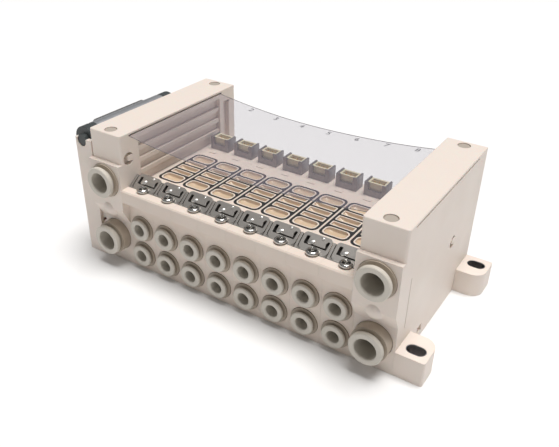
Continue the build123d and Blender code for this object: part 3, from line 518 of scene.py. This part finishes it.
# ---- sleeves in the mounting feet ------------------------------------------
# A thin steel eyelet, drawn from sheet and pressed in, lines each foot's slot
# and takes the screw's pressure. Sizes are in mm.
SLOT_FROM_PLATE = 7.0
SLOT_FROM_END = 6.4
EYELET_R = 3.06
EYELET_STRETCH = 1.4        # half of the slot's straight part
EYELET_DEEP = 6.0
EYELET_HEIGHT = 5.9
EYELET_WALL = 0.35
# Zinc gone bluish grey, a bright rim round a dark slot.
eyelet_steel = stamped_metal("steel drawn zinc plated", "#8E9095", "#77797E", 0.4, 0.25)
feet_low, feet_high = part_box("mounting_feet")
slot_x = feet_low.x + SLOT_FROM_PLATE * MM
eyelets = bmesh.new()
for slot_y in (feet_low.y + SLOT_FROM_END * MM, feet_high.y - SLOT_FROM_END * MM):
    ring = bmesh.ops.create_circle(eyelets, segments=48, radius=EYELET_R * MM)["verts"]
    for vert in ring:
        if abs(vert.co.x) > MERGE:
            vert.co.x += math.copysign(EYELET_STRETCH * MM, vert.co.x)
    bmesh.ops.translate(eyelets, verts=ring, vec=(slot_x, slot_y, feet_high.z - EYELET_DEEP * MM))
walls = bmesh.ops.extrude_edge_only(eyelets, edges=eyelets.edges[:])["geom"]
bmesh.ops.translate(eyelets, verts=verts_of(walls), vec=(0, 0, EYELET_HEIGHT * MM))
bmesh.ops.recalc_face_normals(eyelets, faces=eyelets.faces)
bmesh.ops.solidify(eyelets, geom=eyelets.faces[:], thickness=EYELET_WALL * MM)
make_piece("foot_eyelets", eyelets, [eyelet_steel], "island")

# ---- swivelling connector --------------------------------------------------
# A moulded holder that turns in the housing's trough and carries a drawn steel
# shell with a moulded insulator.

# The holder is a slate grey satin, the shell a pale mirror, the insulator black.
nylon_slate = moulded_plastic("nylon moulded slate", "#3F4546", "#363B3C", 0.46, 0.4, 0.35)
dress(nylon_slate, "connector_holder")
nickel_shell = stamped_metal("steel drawn nickel plated", "#BDBDBB", "#A9A9A7", 0.3, 0.25)
dress(nickel_shell, "connector_shell")
black_pbt = moulded_plastic("PBT moulded black", "#202122", "#2A2B2C", 0.45, 0.35, 0.2)
dress(black_pbt, "connector_insert")

# ---- earth strip -----------------------------------------------------------
# A bent strip of tinned steel lies round the holder's back and earths the
# shell. Sizes are in mm.
STRIP_END = 9.0
STRIP_R = 6.52
STRIP_THICK = 0.15
STRIP_FROM = math.radians(-40)
STRIP_SWEEP = math.radians(110)
# Tin is a cool light grey with a soft shine.
earth_steel = stamped_metal("steel strip tinned", "#C9CBCE", "#B2B4B8", 0.38, 0.3, 0.9)
holder_low, holder_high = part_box("connector_holder")
axle = Vector(((holder_low.x + holder_high.x) / 2, 0, (holder_low.z + holder_high.z) / 2))
strip = bmesh.new()
ends = [strip.verts.new((axle.x, y, axle.z + STRIP_R * MM))
        for y in (holder_low.y + STRIP_END * MM, holder_high.y - STRIP_END * MM)]
line = strip.edges.new(ends)
bmesh.ops.rotate(strip, verts=ends, cent=axle, matrix=Matrix.Rotation(STRIP_FROM, 3, "Y"))
bmesh.ops.spin(strip, geom=ends + [line], cent=axle, axis=(0, 1, 0), angle=STRIP_SWEEP, steps=16)
bmesh.ops.recalc_face_normals(strip, faces=strip.faces)
bmesh.ops.solidify(strip, geom=strip.faces[:], thickness=STRIP_THICK * MM)
make_piece("earth_strip", strip, [earth_steel], "connector")

# ---- connector pins --------------------------------------------------------
# 25 turned brass pins with the same gold flash, in rows of 13 and 12, with
# rounded tips towards the mouth. Sizes are in mm.
PIN_PITCH = 2.76
PIN_ROWS = ((13, 1.42), (12, -1.42))    # pins in a row and its height
PIN_R = 0.5
PIN_LENGTH = 5.6
PIN_DEEP = 3.6
PIN_TIP = 0.28
TIP_REACH = 1.2
facing_mouth = Matrix.Rotation(math.pi / 2, 3, "Y")
shell_low, shell_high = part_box("connector_shell")
mouth = Vector((shell_low.x, (shell_low.y + shell_high.y) / 2, (shell_low.z + shell_high.z) / 2))
contacts = bmesh.new()
for count, height in PIN_ROWS:
    for number in range(count):
        pin = bmesh.ops.create_cone(contacts, segments=12, cap_ends=True, radius1=PIN_R * MM,
                                    radius2=PIN_R * MM, depth=PIN_LENGTH * MM)["verts"]
        bmesh.ops.rotate(contacts, verts=pin, matrix=facing_mouth)
        across = (number - (count - 1) / 2) * PIN_PITCH
        bmesh.ops.translate(contacts, verts=pin, vec=mouth + Vector((PIN_DEEP, across, height)) * MM)
tips = [edge for edge in contacts.edges
        if all(vert.co.x < mouth.x + TIP_REACH * MM for vert in edge.verts)]
bmesh.ops.bevel(contacts, geom=tips, offset=PIN_TIP * MM, segments=2, profile=0.5,
                affect="EDGES", material=-1)
make_piece("connector_pins", contacts, [gold_flash], "connector")

# ---- jack nuts -------------------------------------------------------------
# A hexagonal zinc-plated nut with a blind hole at each end of the shell takes
# the screws of the cable's plug. Sizes are in mm.
NUT_SPACING = 46.0
NUT_R = 2.6
NUT_LENGTH = 4.4
NUT_DEEP = 3.8
NUT_WALL = 1.1
NUT_HOLE = 3.4
nuts = bmesh.new()
for side in (-0.5, 0.5):
    nut = bmesh.ops.create_cone(nuts, segments=6, cap_ends=True, radius1=NUT_R * MM,
                                radius2=NUT_R * MM, depth=NUT_LENGTH * MM)["verts"]
    bmesh.ops.rotate(nuts, verts=nut, matrix=facing_mouth)
    bmesh.ops.translate(nuts, verts=nut, vec=mouth + Vector((NUT_DEEP, side * NUT_SPACING, 0)) * MM)
faces = [face for face in nuts.faces if face.normal.x < -0.9]
bmesh.ops.inset_region(nuts, faces=faces, thickness=NUT_WALL * MM)
hollow = bmesh.ops.extrude_face_region(nuts, geom=faces)["geom"]
bmesh.ops.translate(nuts, verts=verts_of(hollow), vec=(NUT_HOLE * MM, 0, 0))
bmesh.ops.delete(nuts, geom=faces, context="FACES")
bmesh.ops.recalc_face_normals(nuts, faces=nuts.faces)
make_piece("jack_nuts", nuts, [zinc_plate], "connector")

# ---- wiring board ----------------------------------------------------------
# Glass-epoxy board with a solder lacquer. It lies hidden in the wiring duct
# and joins the inserts to the connector.

# Green solder lacquer with an even gloss.
epoxy_board = moulded_plastic("epoxy board green lacquered", "#1F5A3A", "#1A4D33", 0.3, 0.6, 0.1)
dress(epoxy_board, "wiring_board")

# ---- cover film ------------------------------------------------------------
# A clear PET sheet, cut to size and tucked into the plates' slits. It sags
# between them and is a little wavy.
film_low, film_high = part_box("cover_film")
HALF_SPAN = 64 * MM
SAG = 4.6 * MM
FILM_THICK = 0.3 * MM
WAVE = 0.18 * MM
WAVE_ALONG, WAVE_ACROSS, WAVE_START = 17 * MM, 23 * MM, 0.6
FILM_HAZE = 30 * MM
EDGE_NICK = 2 * MM


def film_height(x, y):
    """Height of the film's underside, with its slow waves."""
    rest = film_high.z - FILM_THICK
    if abs(x) >= HALF_SPAN:
        return rest
    share = 1 - (x / HALF_SPAN) ** 2
    wave = math.sin(x / WAVE_ALONG) * math.sin(y / WAVE_ACROSS + WAVE_START)
    return rest - SAG * share + WAVE * share * wave


# Clear plastic that greys what lies behind it, with slow smears in its gloss.
clear_film = empty_material("PET film clear")
place = add_node(clear_film, "ShaderNodeTexCoord").outputs["Object"]
haze = add_node(clear_film, "ShaderNodeTexNoise",
                {"Scale": 1 / FILM_HAZE, "Detail": 3.0},
                {"Vector": place}).outputs["Fac"]
tint = add_node(clear_film, "ShaderNodeMix",
                {"data_type": "RGBA", MIX_A: linear("#8B8492"), MIX_B: linear("#837D8A")},
                {MIX_FACTOR: haze}).outputs[MIX_COLOUR]
smear = add_node(clear_film, "ShaderNodeMapRange",
                 {"From Min": 0.3, "From Max": 0.7, "To Min": 0.06, "To Max": 0.16},
                 {"Value": haze}).outputs["Result"]
ripple = add_node(clear_film, "ShaderNodeBump", {"Strength": 0.1, "Distance": 0.1 * MM},
                  {"Height": haze}).outputs["Normal"]
sheet = add_node(clear_film, "ShaderNodeBsdfPrincipled", {"IOR": 1.5, "Alpha": 0.19},
                 {"Base Color": tint, "Roughness": smear, "Normal": ripple})
add_node(clear_film, "ShaderNodeOutputMaterial", (), {"Surface": sheet.outputs["BSDF"]})

# The cut edge gathers light through the sheet's width and reads as a dark line.
cut_edge = empty_material("PET film cut edge")
place = add_node(cut_edge, "ShaderNodeTexCoord").outputs["Object"]
nicks = add_node(cut_edge, "ShaderNodeTexNoise",
                 {"Scale": 1 / EDGE_NICK, "Detail": 3.0},
                 {"Vector": place}).outputs["Fac"]
tint = add_node(cut_edge, "ShaderNodeMix",
                {"data_type": "RGBA", MIX_A: linear("#65626A"), MIX_B: linear("#77747C")},
                {MIX_FACTOR: nicks}).outputs[MIX_COLOUR]
rough = add_node(cut_edge, "ShaderNodeMapRange", {"To Min": 0.25, "To Max": 0.45},
                 {"Value": nicks}).outputs["Result"]
dents = add_node(cut_edge, "ShaderNodeBump", {"Strength": 0.2, "Distance": 0.05 * MM},
                 {"Height": nicks}).outputs["Normal"]
sheet = add_node(cut_edge, "ShaderNodeBsdfPrincipled", {"IOR": 1.57, "Alpha": 0.97},
                 {"Base Color": tint, "Roughness": rough, "Normal": dents})
add_node(cut_edge, "ShaderNodeOutputMaterial", (), {"Surface": sheet.outputs["BSDF"]})

film = bmesh.new()
bmesh.ops.create_grid(film, x_segments=64, y_segments=24, size=0.5)
film_size = (film_high.x - film_low.x, film_high.y - film_low.y, 1)
bmesh.ops.scale(film, verts=film.verts, vec=film_size)
bmesh.ops.translate(film, verts=film.verts, vec=(0, (film_low.y + film_high.y) / 2, 0))
for vert in film.verts:
    vert.co.z = film_height(vert.co.x, vert.co.y)
top = bmesh.ops.extrude_face_region(film, geom=film.faces[:])["geom"]
bmesh.ops.translate(film, verts=verts_of(top), vec=(0, 0, FILM_THICK))
bmesh.ops.recalc_face_normals(film, faces=film.faces)
for face in film.faces:
    face.material_index = 1 if abs(face.normal.z) < 0.5 else 0
cover = make_piece("cover_sheet", film, [clear_film, cut_edge], "island")
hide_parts("cover_film")
# A film this clear throws almost no shadow, while an Alpha surface would.
cover.visible_shadow = False

# ---- station numbers on the film -------------------------------------------
# Plain numbers, screen printed near the film's rear edge, one over each
# station.
NUMBER_SIZE = 5.2 * MM
NUMBER_INSET = 4.2 * MM
INK_HALF = 0.015 * MM
INK_CLEAR = 0.02 * MM


def lettering(words, size, proud):
    """Mesh of centred text that stands proud to both sides of its plane."""
    curve = bpy.data.curves.new("lettering", "FONT")
    curve.body = words
    curve.size = size
    curve.align_x = "CENTER"
    curve.align_y = "CENTER"
    curve.extrude = proud
    holder = bpy.data.objects.new("lettering", curve)
    mesh = bpy.data.meshes.new_from_object(holder)
    bpy.data.objects.remove(holder)
    return mesh


# Flat grey ink without shine.
grey_ink = moulded_plastic("ink screen printed grey", "#55535A", "#626067", 0.6, 0.3, 0.05)
numbers = bmesh.new()
for n, name in zip(STATIONS, gasket_names):
    low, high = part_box(name)
    flat = lettering(str(n), NUMBER_SIZE, INK_HALF)
    flat.transform(Matrix.Translation(((low.x + high.x) / 2, film_high.y - NUMBER_INSET, 0)))
    numbers.from_mesh(flat)
for vert in numbers.verts:
    vert.co.z += film_height(vert.co.x, vert.co.y) + FILM_THICK + INK_CLEAR
make_piece("film_numbers", numbers, [grey_ink], "island")

# ---- floor, light and camera -----------------------------------------------
# A pale paper floor under one broad soft light from overhead, with a weak cool
# fill from the right. Colours are shown as they are, with no film curve.
FLOOR_HALF = 6
WHITE = (1.0, 1.0, 1.0, 1.0)
SKY_STRENGTH = 0.25
# Matt white paper, almost even.
paper = moulded_plastic("paper matt white", "#F1F1F1", "#EEEEEE", 0.8, 0.8, 0.1)
sweep = bmesh.new()
bmesh.ops.create_grid(sweep, x_segments=1, y_segments=1, size=FLOOR_HALF)
floor_mesh = bpy.data.meshes.new("floor")
sweep.to_mesh(floor_mesh)
sweep.free()
floor_mesh.materials.append(paper)
floor = bpy.data.objects.new("floor", floor_mesh)
bpy.context.scene.collection.objects.link(floor)

world = bpy.data.worlds.new("studio")
world.use_nodes = True
sky = world.node_tree.nodes["Background"].inputs
sky["Color"].default_value = WHITE
sky["Strength"].default_value = SKY_STRENGTH
bpy.context.scene.world = world
bpy.context.scene.view_settings.view_transform = "Standard"
middle = (cad_low + cad_high) / 2
for name, kind, place, spread, power, colour in (
    ("overhead softbox", "SUN", (0.11, 0.07, 1.0), 0.5, 3.05, (1.0, 0.985, 0.975)),
    ("right fill", "AREA", (0.9, 0.15, 0.4), 0.5, 0.15, (0.75, 0.86, 1.0)),
):
    lamp = bpy.data.lights.new(name, kind)
    if kind == "SUN":
        lamp.angle = spread
    else:
        lamp.size = spread
    lamp.energy = power
    lamp.color = colour
    light = bpy.data.objects.new(name, lamp)
    light.location = place
    light.rotation_mode = "QUATERNION"
    light.rotation_quaternion = (middle - Vector(place)).to_track_quat("-Z", "Y")
    bpy.context.scene.collection.objects.link(light)

# The camera stands before the right end and looks down and to the left.
CAMERA_PLACE = (0.1536, -0.2459, 0.1997)
YAW, DOWN, ROLL = 0.562, 0.541, 0.023
FOCAL_LENGTH = 42.45
SENSOR_WIDTH = 36.0
NEAREST = 0.01
ahead = Vector((-math.sin(YAW) * math.cos(DOWN), math.cos(YAW) * math.cos(DOWN), -math.sin(DOWN)))
level = Vector((math.cos(YAW), math.sin(YAW), 0))
upright = level.cross(ahead)
side = math.cos(ROLL) * level + math.sin(ROLL) * upright
up = math.cos(ROLL) * upright - math.sin(ROLL) * level
turn = Matrix((side, up, -ahead)).transposed().to_4x4()
lens = bpy.data.cameras.new("camera")
lens.lens = FOCAL_LENGTH
lens.sensor_width = SENSOR_WIDTH
lens.clip_start = NEAREST
camera = bpy.data.objects.new("camera", lens)
camera.matrix_world = Matrix.Translation(CAMERA_PLACE) @ turn
bpy.context.scene.collection.objects.link(camera)
bpy.context.scene.camera = camera
